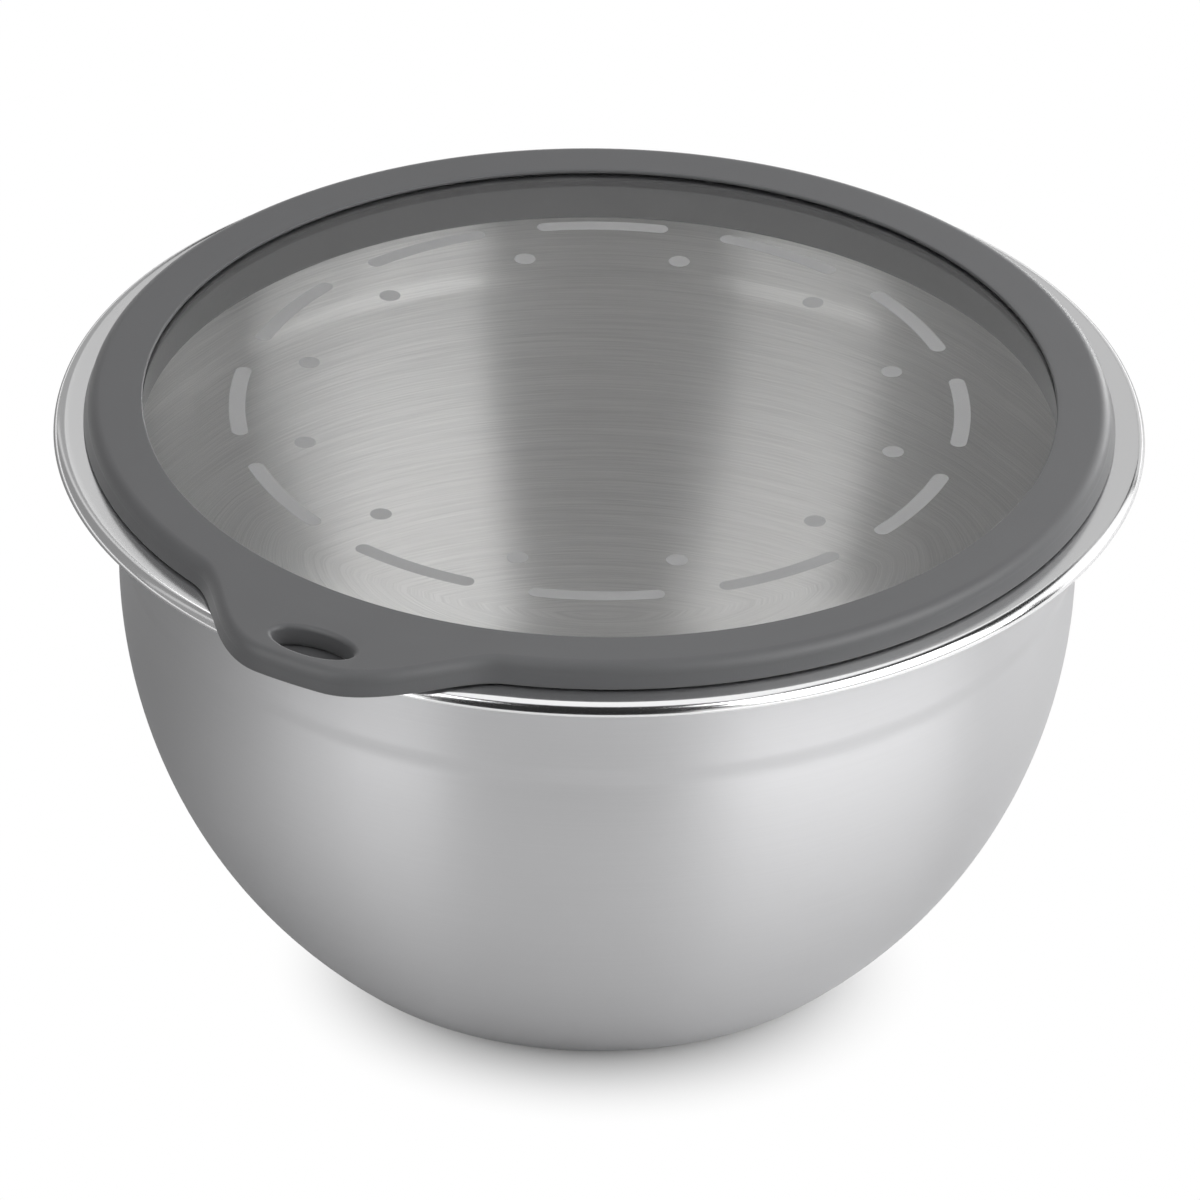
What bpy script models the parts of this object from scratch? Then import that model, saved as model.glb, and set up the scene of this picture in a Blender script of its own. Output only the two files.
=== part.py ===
"""Mixing bowl with a lid: a drawn steel bowl with a rolled rim, and a glass pane in a moulded rim.

Metres, +Z up. The bowl's axis is Z, its base stands on z = 0, and the lid's pull tab points along -Y.
"""

import math

import bmesh
import bpy
from mathutils import Vector
from mathutils.geometry import interpolate_bezier

# Bowl: base and round wall
BASE_RADIUS = 0.068  # flat underside
BASE_CORNER = 0.008  # corner between the base and the wall
WALL_SLOPE = math.radians(42.2)  # the wall's slope where it leaves the corner
WALL_LOW_REACH = 0.063  # curve handle that carries that slope up the wall
WALL_TOP_REACH = 0.0075  # curve handle that keeps the top of the wall upright
WALL_TOP = 0.106  # height where the round wall ends
SHEET = 0.001  # thickness of the steel

# Bowl: neck and rim
NECK_RADIUS = 0.1176  # outside of the upright neck
NECK_STEP = 0.0004  # the neck stands this far outside the top of the wall
NECK_STEP_HEIGHT = 0.004
BOWL_HEIGHT = 0.1369  # top of the flat rim
RIM_BEND = 0.0025  # bend under the rim, on its outer side
RIM_REACH = 0.0149  # from the neck's outside to the rim's edge
RIM_BEAD = 0.00156  # radius of the rolled edge

# Lid: glass pane
GLASS_THICKNESS = 0.004
GLASS_OVERLAP = 0.0052  # how far the pane reaches into its groove
GLASS_GAP = 0.0003  # clearance round the pane
GLASS_EDGE = 0.0006  # rounding of the pane's edge

# Lid: moulded rim
SEAT_GAP = 0.0003  # between the bowl's rim and the lid
LOWER_LIP = 0.0008  # under the glass, above the seat
UPPER_LIP = 0.0008  # over the glass
LIP_ROUND = 0.0004
RING_WALL = 0.0088  # outside the groove
RING_TAPER = 0.0009  # the outer side leans in by this much
RING_ROUND = 0.0032  # upper outer edge
RING_FOOT_ROUND = 0.0006  # lower outer edge
PLUG_CLEARANCE = 0.001  # between the plug and the bowl's neck
PLUG_WALL = 0.0047
PLUG_DEPTH = 0.0103  # below the lid's seat
PLUG_SHOULDER = 0.002  # chamfer between the seat and the plug
PLUG_TAPER = 0.0006
PLUG_ROUND = 0.0012

# Lid: pull tab, with an oval hole
TAB_REACH = 0.0194  # beyond the ring
TAB_TIP_WIDTH = 0.0152  # where the tip starts to turn in
TAB_ROOT_WIDTH = 0.089  # where the tab runs out into the ring
TAB_LIFT = 0.0004  # the tab's underside stands clear of the bowl's rim
HOLE_LENGTH = 0.022
HOLE_WIDTH = 0.0105
HOLE_INSET = 0.0113  # from the tab's tip to the hole's centre
HOLE_OVERSHOOT = 0.004  # how far the cutter passes the tab's faces

# Fineness of the curves
BOWL_STEPS = 72
LID_STEPS = 120
PANE_SIDES = 96
HOLE_SIDES = 32
WALL_POINTS = 9
ARC_POINTS = 4
BEAD_POINTS = 8
ROUNDING = 0.00001  # heights and radii closer than this count as equal

# Places that follow from the sizes above
RIM_RADIUS = NECK_RADIUS + RIM_REACH
NECK_INNER = NECK_RADIUS - SHEET
PLUG_RADIUS = NECK_INNER - PLUG_CLEARANCE
RING_INNER = PLUG_RADIUS - PLUG_WALL
GLASS_RADIUS = RING_INNER + GLASS_OVERLAP
GROOVE_RADIUS = GLASS_RADIUS + GLASS_GAP
RING_OUTER = GROOVE_RADIUS + RING_WALL
GROOVE_ROOF = LOWER_LIP + GLASS_THICKNESS + 2 * GLASS_GAP
RING_HEIGHT = GROOVE_ROOF + UPPER_LIP
SEAT_HEIGHT = BOWL_HEIGHT + SEAT_GAP

QUARTER = math.pi / 2


def arc(centre, radius, start, end, points):
    """Points on an arc in the (radius, height) plane, both ends included."""
    angles = [start + (end - start) * i / (points - 1) for i in range(points)]
    return [(centre[0] + radius * math.cos(a), centre[1] + radius * math.sin(a)) for a in angles]


def wall_curve():
    """The round wall's outside, from the end of the base corner up to the foot of the neck."""
    slope = Vector((math.cos(WALL_SLOPE), math.sin(WALL_SLOPE)))
    low = Vector((BASE_RADIUS, BASE_CORNER)) + BASE_CORNER * Vector((slope.y, -slope.x))
    top = Vector((NECK_RADIUS - NECK_STEP, WALL_TOP))
    handles = low + WALL_LOW_REACH * slope, top - Vector((0, WALL_TOP_REACH))
    return [tuple(p)[:2] for p in interpolate_bezier(low, *handles, top, WALL_POINTS)]


def outer_skin():
    """The bowl's outside in (radius, height), from the middle of the base to the rolled edge."""
    flange = BOWL_HEIGHT - SHEET
    bend_centre = (NECK_RADIUS + RIM_BEND, flange - RIM_BEND)
    corner_end = WALL_SLOPE - QUARTER
    corner = arc((BASE_RADIUS, BASE_CORNER), BASE_CORNER, -QUARTER, corner_end, ARC_POINTS)
    neck_foot = (NECK_RADIUS, WALL_TOP + NECK_STEP_HEIGHT)
    bend = arc(bend_centre, RIM_BEND, 2 * QUARTER, QUARTER, ARC_POINTS)
    hem = (RIM_RADIUS - RIM_BEAD - math.sqrt(RIM_BEAD**2 - (RIM_BEAD - SHEET) ** 2), flange)
    return [(0.0, 0.0), *corner[:-1], *wall_curve(), neck_foot, *bend, hem]


def inner_skin(outer):
    """The outside moved in by the sheet's thickness, square to the surface at every point."""
    points = [Vector(p) for p in outer]
    sides = []
    for a, b in zip(points, points[1:]):
        along = (b - a).normalized()
        sides.append(Vector((-along.y, along.x)))
    moved = [points[0] + SHEET * sides[0]]
    for point, before, after in zip(points[1:], sides, sides[1:]):
        middle = (before + after).normalized()
        moved.append(point + middle * (SHEET / middle.dot(before)))
    return [tuple(p) for p in moved + [points[-1] + SHEET * sides[-1]]]


def bowl_profile():
    """Up the inside of the bowl, round the rolled edge and down the outside."""
    outer = outer_skin()
    bead_centre = (RIM_RADIUS - RIM_BEAD, BOWL_HEIGHT - RIM_BEAD)
    hem_angle = math.asin((RIM_BEAD - SHEET) / RIM_BEAD) + 2 * QUARTER
    bead = arc(bead_centre, RIM_BEAD, QUARTER, -hem_angle, BEAD_POINTS)
    return inner_skin(outer) + bead[:-1] + outer[::-1]


def ring_profile():
    """The lid rim's section above and below its seat, as a loop that runs down the outer side."""
    round_centre = (RING_OUTER - RING_TAPER - RING_ROUND, RING_HEIGHT - RING_ROUND)
    lip_centre = (RING_INNER + LIP_ROUND, RING_HEIGHT - LIP_ROUND)
    foot_centre = (RING_OUTER - RING_FOOT_ROUND, RING_FOOT_ROUND)
    plug_end = PLUG_ROUND - PLUG_DEPTH
    plug_outer_end = (PLUG_RADIUS - PLUG_TAPER - PLUG_ROUND, plug_end)
    plug_inner_end = (RING_INNER + PLUG_ROUND, plug_end)
    return [
        (RING_INNER, GROOVE_ROOF),
        *arc(lip_centre, LIP_ROUND, 2 * QUARTER, QUARTER, ARC_POINTS - 1),
        *arc(round_centre, RING_ROUND, QUARTER, 0, ARC_POINTS + 1),
        *arc(foot_centre, RING_FOOT_ROUND, 0, -QUARTER, ARC_POINTS - 1),
        (PLUG_RADIUS + PLUG_SHOULDER, 0.0),
        (PLUG_RADIUS, -PLUG_SHOULDER),
        *arc(plug_outer_end, PLUG_ROUND, 0, -QUARTER, ARC_POINTS - 1),
        *arc(plug_inner_end, PLUG_ROUND, -QUARTER, -2 * QUARTER, ARC_POINTS - 1),
        (RING_INNER, LOWER_LIP),
        (GROOVE_RADIUS, LOWER_LIP),
        (GROOVE_RADIUS, GROOVE_ROOF),
    ]


def tab_share(x, y):
    """1 at the tip of the pull tab, falling smoothly to 0 where it runs out into the ring."""
    along = RING_OUTER * abs(math.atan2(x, -y))
    start, end = TAB_TIP_WIDTH / 2, TAB_ROOT_WIDTH / 2
    t = min(1.0, max(0.0, (along - start) / (end - start)))
    return 1.0 - t * t * (3.0 - 2.0 * t)


def pull_tab(mesh):
    """Pulls the outer side of the turned ring out into the tab, and lifts the tab's underside."""
    moves_from = RING_OUTER - RING_TAPER - RING_ROUND
    for vertex in mesh.vertices:
        radius = vertex.co.xy.length
        if radius < moves_from - ROUNDING:
            continue
        share = tab_share(vertex.co.x, vertex.co.y)
        vertex.co.xy *= (radius + TAB_REACH * share) / radius
        if vertex.co.z < RING_FOOT_ROUND + ROUNDING:
            vertex.co.z += TAB_LIFT * share


def material(name, colour, metallic, roughness, transmission=0.0):
    made = bpy.data.materials.new(name)
    made.use_nodes = True
    shader = made.node_tree.nodes["Principled BSDF"].inputs
    shader["Base Color"].default_value = (*colour, 1.0)
    shader["Metallic"].default_value = metallic
    shader["Roughness"].default_value = roughness
    shader["Transmission Weight"].default_value = transmission
    return made


def add(name, mesh, collection, parent, finish=None):
    """An object that holds the mesh, linked to the collection and carried by the parent."""
    made = bpy.data.objects.new(name, mesh)
    collection.objects.link(made)
    made.parent = parent
    if finish is not None:
        mesh.materials.append(finish)
    return made


def turn(piece, steps):
    """Turns the piece's profile about Z."""
    screw = piece.modifiers.new("turn", "SCREW")
    screw.axis = "Z"
    screw.steps = screw.render_steps = steps
    screw.use_merge_vertices = True
    screw.merge_threshold = ROUNDING
    screw.use_smooth_shade = True


def profile_mesh(name, profile, closed):
    made = bpy.data.meshes.new(name)
    edges = [(i, i + 1) for i in range(len(profile) - 1)]
    if closed:
        edges.append((len(profile) - 1, 0))
    made.from_pydata([(r, 0.0, z) for r, z in profile], edges, [])
    return made


def turned_mesh(piece):
    """The piece's turned shape as a plain mesh."""
    bpy.context.view_layer.update()
    return bpy.data.meshes.new_from_object(piece.evaluated_get(bpy.context.evaluated_depsgraph_get()))


def disc_mesh(name, radius, height, low, sides):
    """A solid disc about Z that starts at the height low."""
    made = bpy.data.meshes.new(name)
    shape = bmesh.new()
    bmesh.ops.create_cone(shape, cap_ends=True, segments=sides, radius1=radius, radius2=radius, depth=height)
    bmesh.ops.translate(shape, verts=shape.verts, vec=(0.0, 0.0, low + height / 2))
    shape.to_mesh(made)
    shape.free()
    return made


def make_bowl(collection, parent):
    steel = material("steel", (0.62, 0.62, 0.63), 1.0, 0.3)
    bowl = add("bowl_body", profile_mesh("bowl_body", bowl_profile(), False), collection, parent, steel)
    turn(bowl, BOWL_STEPS)


def make_pane(collection, parent):
    glass = material("glass", (0.95, 0.97, 0.96), 0.0, 0.02, transmission=1.0)
    low = LOWER_LIP + GLASS_GAP
    mesh = disc_mesh("lid_pane", GLASS_RADIUS, GLASS_THICKNESS, low, PANE_SIDES)
    pane = add("lid_pane", mesh, collection, parent, glass)
    edge = pane.modifiers.new("ground_edge", "BEVEL")
    edge.width = GLASS_EDGE
    edge.segments = 2
    edge.limit_method = "ANGLE"


def make_lid_rim(collection, cutters, parent):
    silicone = material("silicone", (0.11, 0.11, 0.115), 0.0, 0.6)
    rim = add("lid_rim", profile_mesh("lid_rim_section", ring_profile(), True), collection, parent, silicone)
    turn(rim, LID_STEPS)
    rim.data = turned_mesh(rim)
    rim.modifiers.clear()
    pull_tab(rim.data)

    tall = RING_HEIGHT + 2 * HOLE_OVERSHOOT
    mesh = disc_mesh("hole_cutter", 1.0, tall, -HOLE_OVERSHOOT, HOLE_SIDES)
    cutter = add("hole_cutter", mesh, cutters, parent)
    for vertex in cutter.data.vertices:
        vertex.co.x *= HOLE_LENGTH / 2
        vertex.co.y *= HOLE_WIDTH / 2
    cutter.location.y = HOLE_INSET - RING_OUTER - TAB_REACH
    cutter.hide_render = True
    cutter.display_type = "WIRE"
    hole = rim.modifiers.new("finger_hole", "BOOLEAN")
    hole.operation = "DIFFERENCE"
    hole.object = cutter


def main():
    for leftover in list(bpy.data.objects):
        bpy.data.objects.remove(leftover)
    parts = bpy.data.collections.new("mixing_bowl")
    cutters = bpy.data.collections.new("cutters")
    bpy.context.scene.collection.children.link(parts)
    bpy.context.scene.collection.children.link(cutters)
    bowl_frame = add("bowl_frame", None, parts, None)
    lid_frame = add("lid_frame", None, parts, bowl_frame)
    lid_frame.location.z = SEAT_HEIGHT
    make_bowl(parts, bowl_frame)
    make_pane(parts, lid_frame)
    make_lid_rim(parts, cutters, lid_frame)


main()
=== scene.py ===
"""Finished looks of a steel mixing bowl with a glass lid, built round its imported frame.

Metres, +Z up, in the frame's own axes: the bowl stands on z = 0 and the lid's pull tab
points along -Y.
"""

import math

import bmesh
import bpy
from bpy.props import FloatProperty, FloatVectorProperty, IntProperty, PointerProperty
from mathutils import Matrix, Vector
from mathutils.geometry import interpolate_bezier


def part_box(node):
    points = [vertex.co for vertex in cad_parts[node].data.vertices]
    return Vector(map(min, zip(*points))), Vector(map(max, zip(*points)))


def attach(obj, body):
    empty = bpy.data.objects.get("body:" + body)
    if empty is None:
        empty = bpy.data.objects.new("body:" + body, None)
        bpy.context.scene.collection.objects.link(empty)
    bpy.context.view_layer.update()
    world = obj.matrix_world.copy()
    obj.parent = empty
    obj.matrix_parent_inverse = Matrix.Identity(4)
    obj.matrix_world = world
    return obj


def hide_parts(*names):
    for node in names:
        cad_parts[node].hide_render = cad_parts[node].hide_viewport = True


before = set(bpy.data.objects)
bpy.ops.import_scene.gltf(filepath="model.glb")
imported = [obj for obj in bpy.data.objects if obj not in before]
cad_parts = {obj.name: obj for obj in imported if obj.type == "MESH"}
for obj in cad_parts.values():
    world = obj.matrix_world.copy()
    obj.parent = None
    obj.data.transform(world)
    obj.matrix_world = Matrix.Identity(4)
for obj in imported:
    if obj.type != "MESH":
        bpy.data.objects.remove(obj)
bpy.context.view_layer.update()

bl_info = {
    "name": "Mixing Bowl with a Lid",
    "version": (1, 0, 0),
    "blender": (4, 5, 0),
    "location": "View3D > Sidebar > Mixing Bowl",
    "description": "Builds a steel mixing bowl, its glass lid and the studio round them",
    "category": "Object",
}

# What the frame gives
bowl_low, bowl_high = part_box("bowl_body")
pane_low, pane_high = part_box("lid_pane")
ring_low, ring_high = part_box("lid_rim")

QUARTER = math.pi / 2
TINY = 1e-6  # vertices closer than this are one vertex

# Fineness of the meshes
BOWL_STEPS = 256
RING_STEPS = 540
PANE_STEPS = 192
WALL_POINTS = 48
ARC_POINTS = 10
LIP_POINTS = 16
FLAT_POINTS = 6
HOLE_SIDES = 96
MARK_POINTS = 12
SMOOTH_ANGLE = math.radians(35)

# Brushing
WANDER_REACH = 0.0015  # how far a streak strays from its circle
WANDER_PACE = 30.0  # how fast that changes from one circle to the next
WANDER_SCALE = 1.6  # and along a circle

# The camera, as the photograph was taken
CAMERA_LENS = 430.03  # mm, on a sensor of CAMERA_SENSOR
CAMERA_SENSOR = 36.0
CAMERA_DISTANCE = 3.5515  # from the middle of the base
CAMERA_ELEVATION = math.radians(32.59)  # of the camera, seen from the middle of the base
CAMERA_PITCH = math.radians(31.41)
CAMERA_YAW = math.radians(0.016)
CAMERA_ROLL = math.radians(0.937)
CAMERA_TURN = math.radians(30.0)  # about the bowl's axis, from the pull tab


def length(name, default, description):
    """A length in metres that a user may change."""
    return FloatProperty(
        name=name, description=description, default=default, precision=5, unit="LENGTH"
    )


def angle(name, degrees, description):
    """An angle that a user may change."""
    return FloatProperty(
        name=name, description=description, default=math.radians(degrees), subtype="ANGLE"
    )


def colour(name, default, description):
    """A colour that a user may change."""
    return FloatVectorProperty(
        name=name,
        description=description,
        default=default,
        size=3,
        min=0.0,
        max=1.0,
        subtype="COLOR",
    )


def share(name, default, description):
    """A share from 0 to 1 that a user may change."""
    return FloatProperty(
        name=name, description=description, default=default, min=0.0, max=1.0, subtype="FACTOR"
    )


class BowlSizes(bpy.types.PropertyGroup):
    """Sizes of the steel bowl."""

    height: length("Height", bowl_high.z, "Top of the flat rim")
    rim_radius: length("Rim radius", bowl_high.x, "Outside of the rim's edge")
    base_radius: length("Base radius", 0.068, "Flat underside")
    base_corner: length("Base corner", 0.008, "Corner between the base and the wall")
    wall_slope: angle("Wall slope", 42.2, "Slope of the wall where it leaves the base corner")
    wall_low_reach: length("Low reach", 0.063, "Curve handle that carries the slope up the wall")
    wall_top_reach: length("Top reach", 0.0075, "Curve handle that keeps the wall's top upright")
    wall_top: length("Wall top", 0.105, "Height where the round wall ends")
    sheet: length("Sheet", 0.001, "Thickness of the steel")
    neck_radius: length("Neck radius", 0.1176, "Outside of the upright neck")
    neck_step: length("Neck step", 0.0009, "How far the neck stands outside the wall")
    neck_step_height: length("Neck step height", 0.006, "Height over which the neck steps out")
    rim_bend: length("Rim bend", 0.0025, "Bend under the rim, on its outer side")
    rim_lip: length("Rim lip", 0.0028, "Outer radius of the rim's edge, which is turned down")
    rim_lip_turn: angle("Rim lip turn", 86.0, "Angle that the edge is turned through")


class LidSizes(bpy.types.PropertyGroup):
    """Sizes of the glass pane and of the moulded rim that holds it."""

    pane_radius: length("Pane radius", pane_high.x, "Outside of the glass")
    pane_bottom: length("Pane bottom", pane_low.z, "Underside of the glass")
    pane_top: length("Pane top", pane_high.z, "Upper face of the glass")
    pane_edge: length("Pane edge", 0.0006, "Rounding of the glass edge")
    ring_outer: length("Ring outer", ring_high.x, "Outside of the moulded rim")
    ring_inner: length("Ring inner", 0.1109, "Inside of the moulded rim")
    ring_top: length("Ring top", ring_high.z, "Top of the moulded rim")
    ring_taper: length("Ring taper", 0.0009, "How far the outer side leans in")
    ring_round: length("Ring round", 0.0032, "Rounding of the upper outer edge")
    foot_round: length("Foot round", 0.0006, "Rounding of the lower outer edge")
    lip_round: length("Lip round", 0.0004, "Rounding of the lip on the glass")
    groove_radius: length("Groove radius", 0.1164, "Depth of the groove that holds the glass")
    groove_gap: length("Groove gap", 0.0003, "Between the glass and its groove")
    seat: length("Seat", 0.1372, "Underside of the rim, on the bowl")
    plug_radius: length("Plug radius", 0.1156, "Outside of the plug in the bowl's neck")
    plug_bottom: length("Plug bottom", ring_low.z, "Lower end of the plug")
    plug_shoulder: length("Plug shoulder", 0.002, "Chamfer between the seat and the plug")
    plug_taper: length("Plug taper", 0.0006, "How far the plug narrows downwards")
    plug_round: length("Plug round", 0.0012, "Rounding of the plug's lower edges")


class TabSizes(bpy.types.PropertyGroup):
    """Sizes of the pull tab and its finger hole."""

    reach: length("Reach", -ring_low.y - ring_high.x, "How far the tab stands out of the rim")
    tip_width: length("Tip width", 0.0152, "Width where the tip starts to turn in")
    root_width: length("Root width", 0.089, "Width where the tab runs out into the rim")
    lift: length("Lift", 0.0004, "Gap that the tab's underside keeps above the bowl")
    hole_length: length("Hole length", 0.022, "Long axis of the finger hole")
    hole_width: length("Hole width", 0.0105, "Short axis of the finger hole")
    hole_inset: length("Hole inset", 0.0113, "From the tab's tip to the middle of the hole")
    hole_edge: length("Hole edge", 0.0013, "Rounding of the hole's edges")


class MarkSizes(bpy.types.PropertyGroup):
    """Sizes of the printed marks on the glass: a row of dashes and a row of dots."""

    count: IntProperty(name="Count", description="Marks in each row", default=12, min=1)
    stroke: length("Stroke", 0.004, "Width of a dash")
    dash_radius: length("Dash radius", 0.088, "Radius of the row of dashes")
    dash_share: share("Dash share", 0.62, "Share of the row that the dashes cover")
    dot_radius: length("Dot row radius", 0.0735, "Radius of the row of dots")
    dot_size: length("Dot size", 0.0052, "Diameter of a dot")
    layer: length("Layer", 0.00006, "Thickness of the print")
    lift: length("Lift", 0.00002, "Gap between the glass and the print")


class Finishes(bpy.types.PropertyGroup):
    """Colours of the finishes."""

    outside: colour("Outside", (0.7, 0.7, 0.71), "Satin steel of the outside")
    inside: colour("Inside", (0.84, 0.835, 0.825), "Brushed steel of the inside")
    rim: colour("Rim", (0.88, 0.88, 0.885), "Polished steel of the rim")
    silicone: colour("Silicone", (0.088, 0.089, 0.092), "Moulded rim of the lid")
    glass: colour("Glass", (0.957, 0.959, 0.957), "Pane of the lid")
    print_grey: colour("Print", (0.52, 0.52, 0.525), "Marks on the glass")
    floor: colour("Floor", (0.70, 0.70, 0.70), "Floor of the studio")


class MixingBowlSettings(bpy.types.PropertyGroup):
    """Everything about the bowl that a user may change."""

    bowl: PointerProperty(type=BowlSizes)
    lid: PointerProperty(type=LidSizes)
    tab: PointerProperty(type=TabSizes)
    marks: PointerProperty(type=MarkSizes)
    finishes: PointerProperty(type=Finishes)


# Node trees


class Wire:
    """An output socket that takes part in sums and products as a number does."""

    def __init__(self, sheet, socket):
        self.sheet = sheet
        self.socket = socket

    def out(self, name):
        """Another output of the same node."""
        return Wire(self.sheet, self.socket.node.outputs[name])

    def math(self, operation, first, second):
        return self.sheet.add("ShaderNodeMath", {"operation": operation}, {0: first, 1: second})

    def largest(self, other):
        return self.math("MAXIMUM", self, other)

    def __add__(self, other):
        return self.math("ADD", self, other)

    def __radd__(self, other):
        return self.math("ADD", other, self)

    def __sub__(self, other):
        return self.math("SUBTRACT", self, other)

    def __rsub__(self, other):
        return self.math("SUBTRACT", other, self)

    def __mul__(self, other):
        return self.math("MULTIPLY", self, other)

    def __rmul__(self, other):
        return self.math("MULTIPLY", other, self)

    def __truediv__(self, other):
        return self.math("DIVIDE", self, other)

    def __rtruediv__(self, other):
        return self.math("DIVIDE", other, self)


class Sheet:
    """A node tree, with the one way to add a node to it."""

    def __init__(self, tree):
        self.tree = tree

    def add(self, kind, settings=None, inputs=None, output=0):
        """Adds a node, sets it up, fills or links its sockets and gives one of its outputs."""
        node = self.tree.nodes.new(kind)
        for name, value in (settings or {}).items():
            setattr(node, name, value)
        for key, value in (inputs or {}).items():
            if isinstance(value, Wire):
                self.tree.links.new(value.socket, node.inputs[key])
            else:
                node.inputs[key].default_value = value
        return Wire(self, node.outputs[output]) if node.outputs else None


def new_sheet(name, settings):
    """A new material whose Principled shader has the given settings, and its node sheet."""
    made = bpy.data.materials.new(name)
    made.use_nodes = True
    shader = made.node_tree.nodes["Principled BSDF"]
    for socket, value in settings.items():
        shader.inputs[socket].default_value = value
    return made, Sheet(made.node_tree), shader


def feed(sheet, shader, **wires):
    """Links wires to the shader's sockets, named with _ for a space."""
    for name, wire in wires.items():
        sheet.tree.links.new(wire.socket, shader.inputs[name.replace("_", " ")])


def joined(sheet, x, y, z):
    """A vector from three wires or numbers."""
    return sheet.add("ShaderNodeCombineXYZ", {}, {0: x, 1: y, 2: z})


def object_place(sheet):
    """The place on the piece, in the frame's axes."""
    return sheet.add("ShaderNodeTexCoord", {}, {}, "Object")


def noise(sheet, vector, scale, detail=3.0, roughness=0.55):
    """A noise from 0 to 1 about 0.5."""
    values = {"Vector": vector, "Scale": scale, "Detail": detail, "Roughness": roughness}
    return sheet.add("ShaderNodeTexNoise", {}, values, "Fac")


def tinted(sheet, base, strength):
    """The base colour made lighter or darker by a wire about 1."""
    both = {0: tuple(base), 1: joined(sheet, strength, strength, strength)}
    return sheet.add("ShaderNodeVectorMath", {"operation": "MULTIPLY"}, both)


def bump(sheet, height, strength, distance):
    """A normal that follows a fine relief."""
    values = {"Strength": strength, "Distance": distance, "Height": height}
    return sheet.add("ShaderNodeBump", {}, values, "Normal")


def fading(sheet, value, start, end):
    """A soft rise from 0 at the start to 1 at the end."""
    values = {"Value": value, "From Min": start, "From Max": end}
    return sheet.add("ShaderNodeMapRange", {"interpolation_type": "SMOOTHSTEP"}, values)


def outward(sheet, place, zone):
    """A soft rise from 0 to 1 between two distances from the middle."""
    radius = sheet.add("ShaderNodeVectorMath", {"operation": "LENGTH"}, {0: place}, "Value")
    return fading(sheet, radius, *zone)


def round_the_axis(sheet):
    """The direction from the axis as two wires, and the way along the section as a third."""
    x = sheet.add("ShaderNodeSeparateXYZ", {}, {0: object_place(sheet)}, "X")
    y, z = x.out("Y"), x.out("Z")
    radius = sheet.add("ShaderNodeMath", {"operation": "SQRT"}, {0: x * x + y * y + TINY * TINY})
    return x / radius, y / radius, radius + z


def brushed(sheet, around, across):
    """Streaks that run round the axis: a noise that changes slowly round it and fast across."""
    cosine, sine, section = round_the_axis(sheet)
    wander = noise(sheet, joined(sheet, cosine, sine, section * WANDER_PACE), WANDER_SCALE)
    strayed = (section + wander * WANDER_REACH) * across
    place = joined(sheet, cosine * around, sine * around, strayed)
    return noise(sheet, place, scale=1.0, detail=4.0, roughness=0.6)


# Finishes


def new_steel(name, anisotropy):
    """Bare metal that spreads a highlight one way more than the other."""
    settings = {"Metallic": 1.0, "Anisotropic": anisotropy, "Anisotropic Rotation": 0.25}
    return new_sheet(name, settings)


def steel_outside(finishes):
    """Satin steel with a faint brushing round the bowl, smoother towards the base."""
    made, sheet, shader = new_steel("steel_outside", anisotropy=0.9)
    streaks = brushed(sheet, around=3.0, across=2600.0)
    place = object_place(sheet)
    height = sheet.add("ShaderNodeSeparateXYZ", {}, {0: place}, "Z")
    rise = fading(sheet, height, start=0.0, end=0.09)
    cloud = noise(sheet, place, scale=24.0)
    feed(
        sheet,
        shader,
        Base_Color=tinted(sheet, finishes.outside, 0.97 + streaks * 0.06),
        Roughness=0.28 + rise * 0.055 + streaks * 0.04 + cloud * 0.02,
        Normal=bump(sheet, streaks, strength=0.02, distance=0.0001),
    )
    return made


def steel_inside(finishes):
    """Steel brushed round the axis, with streaks that show."""
    made, sheet, shader = new_steel("steel_inside", anisotropy=1.0)
    fine = brushed(sheet, around=4.0, across=2800.0)
    bands = brushed(sheet, around=2.5, across=420.0)
    feed(
        sheet,
        shader,
        Base_Color=tinted(sheet, finishes.inside, 0.64 + fine * 0.60 + bands * 0.12),
        Roughness=0.35 + fine * 0.12 + bands * 0.06,
        Normal=bump(sheet, fine, strength=0.05, distance=0.0001),
    )
    return made


def steel_rim(finishes):
    """Polished steel, with fine turning marks."""
    made, sheet, shader = new_steel("steel_rim", anisotropy=0.2)
    streaks = brushed(sheet, around=3.0, across=3200.0)
    feed(
        sheet,
        shader,
        Base_Color=tinted(sheet, finishes.rim, 0.98 + streaks * 0.04),
        Roughness=0.13 + streaks * 0.05,
    )
    return made


def grey_silicone(finishes):
    """Matt moulded silicone with a fine grain."""
    settings = {"Specular IOR Level": 0.5, "Sheen Weight": 0.4, "Sheen Roughness": 0.35}
    made, sheet, shader = new_sheet("grey_silicone", settings)
    place = object_place(sheet)
    grain = noise(sheet, place, scale=2400.0, detail=2.0)
    cloud = noise(sheet, place, scale=60.0)
    feed(
        sheet,
        shader,
        Base_Color=tinted(sheet, finishes.silicone, 0.90 + grain * 0.10 + cloud * 0.10),
        Roughness=0.40 + grain * 0.10 + cloud * 0.04,
        Normal=bump(sheet, grain, strength=0.12, distance=0.0002),
    )
    return made


def clear_glass(finishes):
    """Clear glass, the same all over."""
    settings = {
        "Base Color": (*finishes.glass, 1.0),
        "Transmission Weight": 1.0,
        "Roughness": 0.0,
        "IOR": 1.5,
    }
    return new_sheet("clear_glass", settings)[0]


def fired_print(finishes):
    """Pale ink fired on the glass, with a fine speckle."""
    made, sheet, shader = new_sheet("fired_print", {"Specular IOR Level": 0.3})
    speckle = noise(sheet, object_place(sheet), scale=3000.0, detail=2.0)
    feed(
        sheet,
        shader,
        Base_Color=tinted(sheet, finishes.print_grey, 0.94 + speckle * 0.12),
        Roughness=0.45 + speckle * 0.1,
    )
    return made


# Meshes


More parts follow.
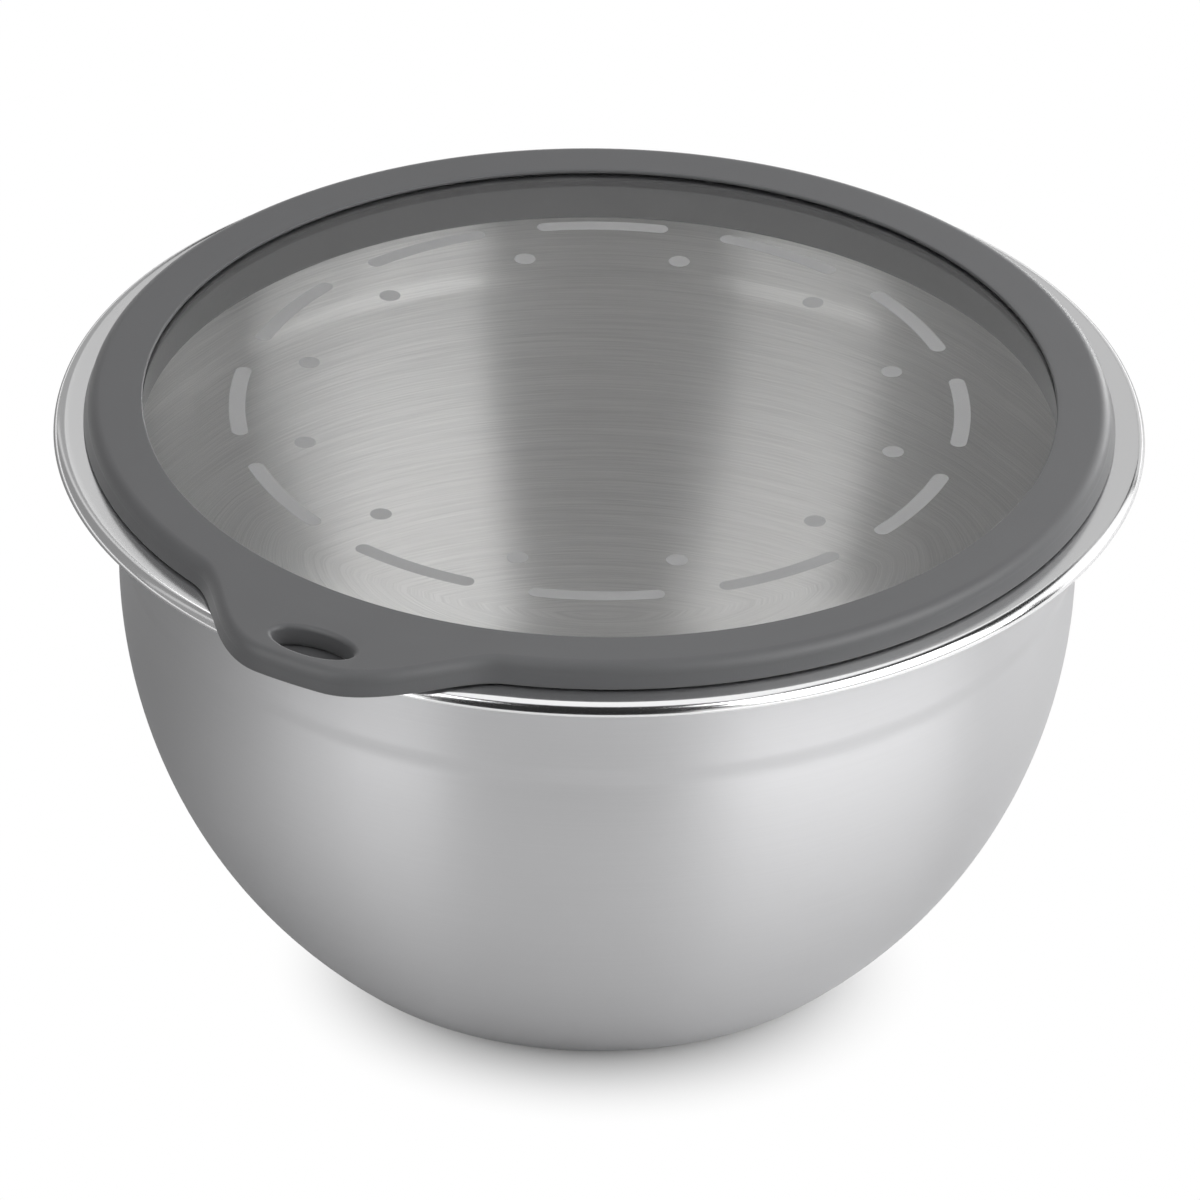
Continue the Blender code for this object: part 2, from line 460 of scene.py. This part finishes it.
def arc(centre, radius, start, end, points):
    """Points on an arc in the (radius, height) plane, both ends included."""
    angles = [start + (end - start) * i / (points - 1) for i in range(points)]
    return [(centre[0] + radius * math.cos(a), centre[1] + radius * math.sin(a)) for a in angles]


def between(start, end, points):
    """Points evenly spaced between two others, both left out."""
    shares = [i / (points + 1) for i in range(1, points + 1)]
    return [tuple(Vector(start).lerp(Vector(end), s)) for s in shares]


def smooth(value):
    """0 below 0, 1 above 1 and a smooth step between."""
    value = min(1.0, max(0.0, value))
    return value * value * (3.0 - 2.0 * value)


def link(name, data):
    """A new object in the scene."""
    made = bpy.data.objects.new(name, data)
    bpy.context.scene.collection.objects.link(made)
    return made


def drawn(name, shape):
    """A new mesh from a drawn shape, which is then let go."""
    mesh = bpy.data.meshes.new(name)
    shape.to_mesh(mesh)
    shape.free()
    return mesh


def stacked(name, rings):
    """A closed mesh from rings of points, one above the other, each with as many points."""
    shape = bmesh.new()
    rings = [[shape.verts.new(point) for point in ring] for ring in rings]
    for lower, upper in zip(rings, rings[1:]):
        for i in range(len(lower)):
            shape.faces.new((lower[i - 1], lower[i], upper[i], upper[i - 1]))
    shape.faces.new(rings[0])
    shape.faces.new(rings[-1])
    bmesh.ops.recalc_face_normals(shape, faces=shape.faces)
    return drawn(name, shape)


def node_modifier(piece, tree, values):
    """Gives the piece a Geometry Nodes modifier whose inputs, by name, have the given values."""
    modifier = piece.modifiers.new(tree.name, "NODES")
    modifier.node_group = tree
    for item in tree.interface.items_tree:
        if item.in_out == "INPUT" and item.name in values:
            modifier[item.identifier] = values[item.name]


def settle(piece):
    """Turns what the piece's modifiers make into its plain mesh."""
    bpy.context.view_layer.update()
    graph = bpy.context.evaluated_depsgraph_get()
    mesh = bpy.data.meshes.new_from_object(piece.evaluated_get(graph))
    piece.modifiers.clear()
    piece.data = mesh
    shape = bmesh.new()
    shape.from_mesh(mesh)
    bmesh.ops.remove_doubles(shape, verts=shape.verts, dist=TINY)
    bmesh.ops.recalc_face_normals(shape, faces=shape.faces)
    shape.to_mesh(mesh)
    shape.free()
    mesh.shade_smooth()
    mesh.set_sharp_from_angle(angle=SMOOTH_ANGLE)


def new_tree(name, inputs):
    """A Geometry Nodes tree with the named inputs, its sheet and its input node's wire."""
    tree = bpy.data.node_groups.new(name, "GeometryNodeTree")
    tree.interface.new_socket("Geometry", in_out="INPUT", socket_type="NodeSocketGeometry")
    for socket, kind in inputs.items():
        tree.interface.new_socket(socket, in_out="INPUT", socket_type=kind)
    tree.interface.new_socket("Geometry", in_out="OUTPUT", socket_type="NodeSocketGeometry")
    sheet = Sheet(tree)
    return tree, sheet, sheet.add("NodeGroupInput")


def end_tree(sheet, geometry, finish):
    """Ends a tree with real geometry in its finish."""
    real = sheet.add("GeometryNodeRealizeInstances", {}, {"Geometry": geometry})
    done = sheet.add("GeometryNodeSetMaterial", {}, {"Geometry": real, "Material": finish})
    sheet.add("NodeGroupOutput", {}, {"Geometry": done})


def turning_tree():
    """Sweeps a section, drawn as edges in (radius, -height), round the Z axis."""
    inputs = {
        "Steps": "NodeSocketInt",
        "Path Radius": "NodeSocketFloat",
        "Finish": "NodeSocketMaterial",
    }
    tree, sheet, given = new_tree("turned_section", inputs)
    sizes = {"Resolution": given.out("Steps"), "Radius": given.out("Path Radius")}
    path = sheet.add("GeometryNodeCurvePrimitiveCircle", {}, sizes)
    upright = sheet.add("GeometryNodeSetCurveNormal", {"mode": "Z_UP"}, {"Curve": path})
    section = sheet.add("GeometryNodeMeshToCurve", {}, {"Mesh": given.out("Geometry")})
    swept = sheet.add("GeometryNodeCurveToMesh", {}, {"Curve": upright, "Profile Curve": section})
    whole = sheet.add("GeometryNodeMergeByDistance", {}, {"Geometry": swept, "Distance": TINY})
    end_tree(sheet, whole, given.out("Finish"))
    return tree


def repeating_tree():
    """Repeats a shape at even angles round the Z axis."""
    inputs = {"Count": "NodeSocketInt", "Finish": "NodeSocketMaterial"}
    tree, sheet, given = new_tree("repeated_mark", inputs)
    count = given.out("Count")
    points = sheet.add("GeometryNodePoints", {}, {"Count": count})
    turn = joined(sheet, 0.0, 0.0, sheet.add("GeometryNodeInputIndex") * math.tau / count)
    values = {"Points": points, "Instance": given.out("Geometry"), "Rotation": turn}
    marks = sheet.add("GeometryNodeInstanceOnPoints", {}, values)
    end_tree(sheet, marks, given.out("Finish"))
    return tree


def turned(name, section, closed, steps, finish):
    """A piece turned about Z from a section of (radius, height) points."""
    path_radius = max(radius for radius, height in section)
    edges = [(i, i + 1) for i in range(len(section) - 1)]
    if closed:
        edges.append((len(section) - 1, 0))
    corners = [(radius - path_radius, -height, 0.0) for radius, height in section]
    mesh = bpy.data.meshes.new(name)
    mesh.from_pydata(corners, edges, [])
    piece = link(name, mesh)
    values = {"Steps": steps, "Path Radius": path_radius, "Finish": finish}
    node_modifier(piece, turning_tree(), values)
    settle(piece)
    return piece


# Bowl


def wall_curve(bowl):
    """The round wall's outside, from the end of the base corner up to the foot of the neck."""
    slope = Vector((math.cos(bowl.wall_slope), math.sin(bowl.wall_slope)))
    square = Vector((slope.y, -slope.x))
    low = Vector((bowl.base_radius, bowl.base_corner)) + bowl.base_corner * square
    top = Vector((bowl.neck_radius - bowl.neck_step, bowl.wall_top))
    handles = low + bowl.wall_low_reach * slope, top - Vector((0, bowl.wall_top_reach))
    return [tuple(p)[:2] for p in interpolate_bezier(low, *handles, top, WALL_POINTS)]


def neck_foot(bowl):
    """The soft step from the wall out to the neck."""
    wall_radius = bowl.neck_radius - bowl.neck_step
    points = []
    for i in range(1, ARC_POINTS):
        up = i / (ARC_POINTS - 1)
        radius = wall_radius + bowl.neck_step * smooth(up)
        points.append((radius, bowl.wall_top + bowl.neck_step_height * up))
    return points


def rim_lip(bowl):
    """The turned-down edge of the rim, down its outside and up its inside."""
    middle = (bowl.rim_radius - bowl.rim_lip, bowl.height - bowl.rim_lip)
    end = QUARTER - bowl.rim_lip_turn
    outside = arc(middle, bowl.rim_lip, QUARTER, end, LIP_POINTS)
    return outside + arc(middle, bowl.rim_lip - bowl.sheet, end, QUARTER, LIP_POINTS)


def outer_skin(bowl):
    """The bowl's outside in (radius, height), from the middle of the base to the rim's lip."""
    bend_centre = (bowl.neck_radius + bowl.rim_bend, bowl.height - bowl.sheet - bowl.rim_bend)
    corner_centre = (bowl.base_radius, bowl.base_corner)
    corner = arc(corner_centre, bowl.base_corner, -QUARTER, bowl.wall_slope - QUARTER, ARC_POINTS)
    bend = arc(bend_centre, bowl.rim_bend, math.pi, QUARTER, ARC_POINTS)
    base = [(0.0, 0.0), *between((0.0, 0.0), corner[0], FLAT_POINTS)]
    edge = (bowl.rim_radius - bowl.rim_lip, bowl.height - bowl.sheet)
    flange = [*between(bend[-1], edge, FLAT_POINTS), edge]
    return [*base, *corner[:-1], *wall_curve(bowl), *neck_foot(bowl), *bend, *flange]


def inner_skin(outer, sheet):
    """The outside moved in by the sheet's thickness, square to the surface at every point."""
    points = [Vector(p) for p in outer]
    sides = []
    for a, b in zip(points, points[1:]):
        along = (b - a).normalized()
        sides.append(Vector((-along.y, along.x)))
    moved = [points[0] + sheet * sides[0]]
    for point, before, after in zip(points[1:], sides, sides[1:]):
        middle = (before + after).normalized()
        moved.append(point + middle * (sheet / middle.dot(before)))
    return [tuple(p) for p in moved + [points[-1] + sheet * sides[-1]]]


def bowl_section(bowl):
    """Up the inside of the bowl, round the rim's lip and down the outside."""
    outer = outer_skin(bowl)
    return inner_skin(outer, bowl.sheet)[:-1] + rim_lip(bowl) + outer[-2::-1]


def faces_in(face, bowl):
    """Whether a face of the base or the wall looks into the bowl."""
    if face.center.z < bowl.base_corner:
        return face.normal.z > 0
    return face.normal.xy.dot(face.center.xy.normalized()) < 0


class MIXINGBOWL_OT_shell(bpy.types.Operator):
    """Turns the steel bowl and gives its outside, inside and rim their finishes"""

    bl_idname = "mixing_bowl.shell"
    bl_label = "Steel Bowl"

    def execute(self, context):
        settings = context.scene.mixing_bowl
        bowl, finishes = settings.bowl, settings.finishes
        outside, inside, rim = range(3)
        satin = steel_outside(finishes)
        piece = turned("bowl_shell", bowl_section(bowl), False, BOWL_STEPS, satin)
        piece.data.materials.append(steel_inside(finishes))
        piece.data.materials.append(steel_rim(finishes))
        flange = bowl.height - bowl.sheet - bowl.rim_bend
        for face in piece.data.polygons:
            if face.center.z > flange:
                face.material_index = rim
            else:
                face.material_index = inside if faces_in(face, bowl) else outside
        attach(piece, "bowl")
        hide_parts("bowl_body")
        return {"FINISHED"}


# Lid


def pane_section(lid):
    """Down the outer side of the glass pane."""
    top, bottom, edge = lid.pane_top, lid.pane_bottom, lid.pane_edge
    upper = (lid.pane_radius - edge, top - edge)
    lower = (lid.pane_radius - edge, bottom + edge)
    return [
        (0.0, top),
        *between((0.0, top), (upper[0], top), FLAT_POINTS),
        *arc(upper, edge, QUARTER, 0, ARC_POINTS),
        *arc(lower, edge, 0, -QUARTER, ARC_POINTS),
        *between((lower[0], bottom), (0.0, bottom), FLAT_POINTS),
        (0.0, bottom),
    ]


def ring_section(lid):
    """The moulded rim's section, as a loop that runs down the outer side."""
    groove_roof = lid.pane_top + lid.groove_gap
    groove_floor = lid.pane_bottom - lid.groove_gap
    round_centre = (lid.ring_outer - lid.ring_taper - lid.ring_round, lid.ring_top - lid.ring_round)
    lip_centre = (lid.ring_inner + lid.lip_round, lid.ring_top - lid.lip_round)
    foot_centre = (lid.ring_outer - lid.foot_round, lid.seat + lid.foot_round)
    plug_end = lid.plug_bottom + lid.plug_round
    plug_outer = (lid.plug_radius - lid.plug_taper - lid.plug_round, plug_end)
    plug_inner = (lid.ring_inner + lid.plug_round, plug_end)
    lip = arc(lip_centre, lid.lip_round, math.pi, QUARTER, ARC_POINTS)
    shoulder = arc(round_centre, lid.ring_round, QUARTER, 0, 2 * ARC_POINTS)
    return [
        (lid.ring_inner, groove_roof),
        *lip,
        *between(lip[-1], shoulder[0], FLAT_POINTS),
        *shoulder,
        *arc(foot_centre, lid.foot_round, 0, -QUARTER, ARC_POINTS),
        (lid.plug_radius + lid.plug_shoulder, lid.seat),
        (lid.plug_radius, lid.seat - lid.plug_shoulder),
        *arc(plug_outer, lid.plug_round, 0, -QUARTER, ARC_POINTS),
        *arc(plug_inner, lid.plug_round, -QUARTER, -math.pi, ARC_POINTS),
        (lid.ring_inner, groove_floor),
        (lid.groove_radius, groove_floor),
        (lid.groove_radius, groove_roof),
    ]


def pull_tab(mesh, lid, tab):
    """Pulls the outer side of the turned rim out into the tab, and lifts the tab's underside."""
    moves_from = lid.ring_outer - lid.ring_taper - lid.ring_round
    start, end = tab.tip_width / 2, tab.root_width / 2
    for vertex in mesh.vertices:
        radius = vertex.co.xy.length
        if radius < moves_from - TINY:
            continue
        along = lid.ring_outer * abs(math.atan2(vertex.co.x, -vertex.co.y))
        near_tip = 1.0 - smooth((along - start) / (end - start))
        vertex.co.xy *= (radius + tab.reach * near_tip) / radius
        if vertex.co.z < lid.seat + lid.foot_round + TINY:
            vertex.co.z += tab.lift * near_tip


def hole_waist(lid, tab):
    """How much wider the hole gets at each height, from just below the tab to just above it."""
    edge, low, top = tab.hole_edge, lid.seat + tab.lift, lid.ring_top
    past = edge / ARC_POINTS
    turns = [QUARTER * i / (ARC_POINTS - 1) for i in range(ARC_POINTS)]
    lower = [(edge * (1 - math.sin(a)), low + edge * (1 - math.cos(a))) for a in turns]
    upper = [(edge * (1 - math.cos(a)), top - edge * (1 - math.sin(a))) for a in turns]
    return [(edge, low - past), *lower, *upper, (edge, top + past)]


def hole_cutter(lid, tab):
    """A tall oval plug that flares out where it leaves the tab, which rounds the hole's edges."""
    middle = Vector((0.0, tab.hole_inset - lid.ring_outer - tab.reach, 0.0))
    angles = [math.tau * i / HOLE_SIDES for i in range(HOLE_SIDES)]
    rings = []
    for wider, height in hole_waist(lid, tab):
        size = Vector((tab.hole_length / 2 + wider, tab.hole_width / 2 + wider))
        oval = [Vector((size.x * math.cos(a), size.y * math.sin(a), height)) for a in angles]
        rings.append([middle + point for point in oval])
    return link("hole_cutter", stacked("hole_cutter", rings))


class MIXINGBOWL_OT_pane(bpy.types.Operator):
    """Turns the lid's glass pane"""

    bl_idname = "mixing_bowl.pane"
    bl_label = "Glass Pane"

    def execute(self, context):
        settings = context.scene.mixing_bowl
        glass = clear_glass(settings.finishes)
        piece = turned("lid_glass", pane_section(settings.lid), False, PANE_STEPS, glass)
        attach(piece, "lid")
        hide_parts("lid_pane")
        return {"FINISHED"}


class MIXINGBOWL_OT_ring(bpy.types.Operator):
    """Turns the lid's moulded rim, draws out its pull tab and cuts the finger hole"""

    bl_idname = "mixing_bowl.ring"
    bl_label = "Moulded Rim"

    def execute(self, context):
        settings = context.scene.mixing_bowl
        lid, tab = settings.lid, settings.tab
        silicone = grey_silicone(settings.finishes)
        piece = turned("lid_ring", ring_section(lid), True, RING_STEPS, silicone)
        pull_tab(piece.data, lid, tab)
        cutter = hole_cutter(lid, tab)
        hole = piece.modifiers.new("finger_hole", "BOOLEAN")
        hole.operation = "DIFFERENCE"
        hole.object = cutter
        settle(piece)
        bpy.data.objects.remove(cutter)
        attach(piece, "lid")
        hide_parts("lid_rim")
        return {"FINISHED"}


# Printed marks


def mark_mesh(name, outline, marks, lid):
    """A thin flat mark under the glass with the given outline of (x, y) points."""
    low = lid.pane_bottom - marks.lift - marks.layer
    heights = (low, low + marks.layer)
    return stacked(name, [[(x, y, height) for x, y in outline] for height in heights])


def dash_outline(marks):
    """A bent dash with round ends, on its row."""
    half = marks.stroke / 2
    sweep = math.tau * marks.dash_share / marks.count / 2
    end = Vector((marks.dash_radius * math.cos(sweep), marks.dash_radius * math.sin(sweep)))
    outer = arc((0.0, 0.0), marks.dash_radius + half, -sweep, sweep, MARK_POINTS)
    far_end = arc(end, half, sweep, sweep + math.pi, MARK_POINTS)
    inner = arc((0.0, 0.0), marks.dash_radius - half, sweep, -sweep, MARK_POINTS)
    near_end = arc((end.x, -end.y), half, math.pi - sweep, math.tau - sweep, MARK_POINTS)
    return outer[:-1] + far_end[:-1] + inner[:-1] + near_end[:-1]


def dot_outline(marks):
    """A round dot on its row, in the gap between two dashes."""
    turn = math.pi / marks.count
    middle = (marks.dot_radius * math.cos(turn), marks.dot_radius * math.sin(turn))
    return arc(middle, marks.dot_size / 2, 0, math.tau, 2 * MARK_POINTS + 1)[:-1]


class MIXINGBOWL_OT_marks(bpy.types.Operator):
    """Prints a row of dashes and a row of dots on the underside of the glass"""

    bl_idname = "mixing_bowl.marks"
    bl_label = "Printed Marks"

    def execute(self, context):
        settings = context.scene.mixing_bowl
        marks, ink, tree = settings.marks, fired_print(settings.finishes), repeating_tree()
        outlines = {"print_dashes": dash_outline(marks), "print_dots": dot_outline(marks)}
        for name, outline in outlines.items():
            piece = link(name, mark_mesh(name, outline, marks, settings.lid))
            node_modifier(piece, tree, {"Count": marks.count, "Finish": ink})
            settle(piece)
            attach(piece, "lid")
        return {"FINISHED"}


# Studio

FLOOR_RADIUS = 4.0
FLOOR_SIDES = 64
WORLD_GREY = 0.02  # what metal and glass see where there is no lamp and no floor

# The shadow that the camera sees by the base, deepened by a painted shadow in the floor's colour
SHADOW_ZONE = (0.029, 0.071)  # it fades out between these distances from its middle
SHADOW_MIDDLE = (0.002, -0.033, 0.0)  # to the right of the bowl's and nearer to the camera
SHADOW_WIDTH = 1.15  # it is wider than long
# painted shadow: the floor's colour is darker for the camera by this share
PAINTED_SHADOW_DEPTH = 0.3  # how much darker the floor is in it

# The floor behind the bowl, to the camera's left, is darker: painted shade in its colour
DIM_SIDE = (-0.64, 0.77, 0.0)
DIM_ZONE = (0.0, 0.22)  # it darkens between these distances that way
DIM_DEPTH = 0.6  # by this share

# The floor as metal and glass see it, with painted shade in its colour near the bowl
UNDER_ZONE = (0.08, 0.25)  # it is darker under the wall, and less so up to the second radius
UNDER_SHADE_DEPTH = 0.17  # by this share
MIRROR_ZONE = (0.5, 1.2)  # it turns white between these radii

# Softboxes: turn from the camera's right, height angle, distance, width, height, brightness
SOFTBOXES = {
    "right_low": (-39, 10, 1.2, 1.5, 0.45, 0.7),
    "right_mid": (-29.5, 31, 1.2, 1.28, 0.45, 4.25),
    "right_high": (-27.5, 52, 1.2, 0.98, 0.45, 3.1),
    "right_side": (25, 24, 1.2, 0.7, 0.95, 1.15),
    "right_back": (60, 9, 1.3, 0.6, 0.4, 7.0),
    "low_back": (66, 10, 1.3, 1.0, 0.5, 0.65),
    "back_mid": (75, 34, 1.4, 1.1, 0.6, 0.55),
    "back_left": (116, 28, 1.4, 0.65, 1.25, 0.36),
    "top_back": (90, 76, 1.3, 0.9, 1.45, 1.0),
    "left_back": (150, 30, 1.3, 1.15, 1.3, 0.27),
    "left_side": (192, 27, 1.2, 0.8, 1.0, 0.3),
    "left_low": (227, 10, 1.2, 0.48, 0.45, 1.3),
    "left_mid": (216.5, 31, 1.2, 0.71, 0.45, 1.8),
    "left_high": (211.6, 52, 1.2, 0.75, 0.45, 2.55),
}


def camera_frame():
    """Turns the camera's left-right and depth lines into the frame's axes."""
    return Matrix.Rotation(CAMERA_TURN, 3, "Z")


def floor_finish(finishes):
    """A pale floor, white away from the bowl, with the bowl's shadow and some painted shade."""
    made, sheet, shader = new_sheet("floor", {"Roughness": 0.9})
    seen = sheet.add("ShaderNodeLightPath", {}, {}, "Is Camera Ray")
    mirrored = seen.out("Is Glossy Ray").largest(seen.out("Is Transmission Ray"))
    place = object_place(sheet)
    that_way = {0: place, 1: camera_frame() @ Vector(DIM_SIDE)}
    reach = sheet.add("ShaderNodeVectorMath", {"operation": "DOT_PRODUCT"}, that_way, "Value")
    # painted shade: the floor's colour darkens behind the bowl, to the camera's left
    painted_shade_behind = fading(sheet, reach, *DIM_ZONE)
    shadow = {
        "Vector": place,
        "Location": camera_frame() @ Vector(SHADOW_MIDDLE),
        "Rotation": (0.0, 0.0, CAMERA_TURN),
        "Scale": (SHADOW_WIDTH, 1.0, 1.0),
    }
    from_shadow = sheet.add("ShaderNodeMapping", {"vector_type": "TEXTURE"}, shadow)
    # painted shade: metal and glass see the floor's colour darker under the bowl's wall
    under = mirrored * (1.0 - outward(sheet, place, UNDER_ZONE))
    # the floor's colour: painted shadow by the base for the camera, painted shade behind the bowl
    # and under its wall
    light = 1.0 - seen * PAINTED_SHADOW_DEPTH - painted_shade_behind * DIM_DEPTH - under * UNDER_SHADE_DEPTH
    feed(sheet, shader, Base_Color=tinted(sheet, finishes.floor, light))
    white_seen = seen * outward(sheet, from_shadow, SHADOW_ZONE)
    white = white_seen.largest(mirrored * outward(sheet, place, MIRROR_ZONE))
    glow = sheet.add("ShaderNodeEmission", {}, {"Color": (1.0, 1.0, 1.0, 1.0), "Strength": 1.0})
    plain = Wire(sheet, shader.outputs[0])
    mixed = sheet.add("ShaderNodeMixShader", {}, {0: white, 1: plain, 2: glow})
    sheet.tree.links.new(mixed.socket, sheet.tree.nodes["Material Output"].inputs["Surface"])
    return made


def add_floor(finishes):
    """A wide round floor."""
    shape = bmesh.new()
    bmesh.ops.create_circle(shape, cap_ends=True, segments=FLOOR_SIDES, radius=FLOOR_RADIUS)
    mesh = drawn("floor", shape)
    mesh.materials.append(floor_finish(finishes))
    link("floor", mesh)


def add_softbox(name, turn, height, distance, wide, tall, brightness):
    """A rectangular lamp that faces the bowl."""
    lamp = bpy.data.lights.new(name, "AREA")
    lamp.shape = "RECTANGLE"
    lamp.size = wide
    lamp.size_y = tall
    lamp.energy = brightness * math.pi * wide * tall
    made = link(name, lamp)
    made.visible_camera = False
    turn, height = math.radians(turn), math.radians(height)
    flat = math.cos(height)
    way = Vector((flat * math.cos(turn), flat * math.sin(turn), math.sin(height)))
    made.location = camera_frame() @ (distance * way)
    made.rotation_euler = made.location.to_track_quat("Z", "Y").to_euler()
    return made


def keep_off(lamp, piece):
    """Keeps a lamp's light off one piece, as a flag in a studio does."""
    flag = bpy.data.collections.new(lamp.name + "_flag")
    flag.objects.link(piece)
    flag.collection_objects[0].light_linking.link_state = "EXCLUDE"
    lamp.light_linking.receiver_collection = flag


def add_world():
    """A dark room that the camera sees as plain white."""
    world = bpy.data.worlds.new("studio")
    world.use_nodes = True
    sheet = Sheet(world.node_tree)
    seen = sheet.add("ShaderNodeLightPath", {}, {}, "Is Camera Ray")
    level = WORLD_GREY + seen * (1.0 - WORLD_GREY)
    sheet.tree.links.new(level.socket, world.node_tree.nodes["Background"].inputs["Color"])
    bpy.context.scene.world = world


def add_camera():
    """The camera at the photograph's place."""
    camera = bpy.data.cameras.new("camera")
    camera.lens = CAMERA_LENS
    camera.sensor_width = CAMERA_SENSOR
    camera.clip_end = 2 * FLOOR_RADIUS
    flat = math.cos(CAMERA_ELEVATION)
    place = CAMERA_DISTANCE * Vector((0.0, -flat, math.sin(CAMERA_ELEVATION)))
    level = math.cos(CAMERA_PITCH)
    aside, onward = math.sin(CAMERA_YAW) * level, math.cos(CAMERA_YAW) * level
    ahead = Vector((aside, onward, -math.sin(CAMERA_PITCH)))
    right = ahead.cross(Vector((0.0, 0.0, 1.0))).normalized()
    up = right.cross(ahead)
    rolled_right = math.cos(CAMERA_ROLL) * right + math.sin(CAMERA_ROLL) * up
    rolled_up = math.cos(CAMERA_ROLL) * up - math.sin(CAMERA_ROLL) * right
    facing = Matrix((rolled_right, rolled_up, -ahead)).transposed()
    turn = camera_frame()
    made = link("camera", camera)
    made.matrix_world = Matrix.Translation(turn @ place) @ (turn @ facing).to_4x4()
    bpy.context.scene.camera = made


class MIXINGBOWL_OT_studio(bpy.types.Operator):
    """Adds the pale floor, the soft lamps and the camera"""

    bl_idname = "mixing_bowl.studio"
    bl_label = "Studio"

    def execute(self, context):
        add_floor(context.scene.mixing_bowl.finishes)
        lamps = {name: add_softbox(name, *sizes) for name, sizes in SOFTBOXES.items()}
        keep_off(lamps["right_back"], bpy.data.objects["bowl_shell"])
        add_world()
        add_camera()
        context.scene.view_settings.view_transform = "Standard"
        return {"FINISHED"}


class VIEW3D_PT_mixing_bowl(bpy.types.Panel):
    """Sizes, finishes and building steps of the mixing bowl"""

    bl_label = "Mixing Bowl"
    bl_space_type = "VIEW_3D"
    bl_region_type = "UI"
    bl_category = "Mixing Bowl"

    def draw(self, context):
        settings = context.scene.mixing_bowl
        groups = (settings.bowl, settings.lid, settings.tab, settings.marks, settings.finishes)
        for group in groups:
            column = self.layout.column(align=True)
            for name in group.__annotations__:
                column.prop(group, name)
        for step in STEPS:
            self.layout.operator(step.bl_idname)


STEPS = (
    MIXINGBOWL_OT_shell,
    MIXINGBOWL_OT_pane,
    MIXINGBOWL_OT_ring,
    MIXINGBOWL_OT_marks,
    MIXINGBOWL_OT_studio,
)
CLASSES = (
    BowlSizes,
    LidSizes,
    TabSizes,
    MarkSizes,
    Finishes,
    MixingBowlSettings,
    *STEPS,
    VIEW3D_PT_mixing_bowl,
)


def register():
    for each in CLASSES:
        bpy.utils.register_class(each)
    bpy.types.Scene.mixing_bowl = PointerProperty(type=MixingBowlSettings)


def unregister():
    del bpy.types.Scene.mixing_bowl
    for each in reversed(CLASSES):
        bpy.utils.unregister_class(each)


def main():
    register()
    bpy.ops.mixing_bowl.shell()
    bpy.ops.mixing_bowl.pane()
    bpy.ops.mixing_bowl.ring()
    bpy.ops.mixing_bowl.marks()
    bpy.ops.mixing_bowl.studio()


if __name__ == "__main__":
    main()
